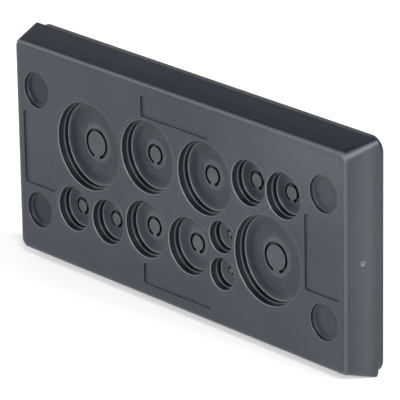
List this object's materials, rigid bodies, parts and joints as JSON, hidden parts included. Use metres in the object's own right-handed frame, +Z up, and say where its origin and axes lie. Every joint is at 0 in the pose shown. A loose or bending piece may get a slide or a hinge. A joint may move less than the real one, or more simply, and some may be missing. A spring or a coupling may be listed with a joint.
{
  "type": "cable entry plate",
  "caption": "Rectangular cable entry plate: a soft membrane cover with round stepped entries in several sizes, over a stiff frame with a sealing ring behind.",
  "frame": {"origin": "centre of the four screw holes, in the plane of the wall that the plate is screwed to", "axes": "+X along the plate's length, to the right as seen from outside; +Y into the wall; +Z up"},
  "size_m": [0.1224, 0.011, 0.0598],
  "materials": {
    "cover_rubber": "satin, dark slate grey",
    "frame_plastic": "matt, nearly black",
    "seal_rubber": "matt black"
  },
  "bodies": {
    "root": {"membrane_cover": "cover_rubber", "base_frame": "frame_plastic", "panel_seal": "seal_rubber"}
  },
  "joints": []
}
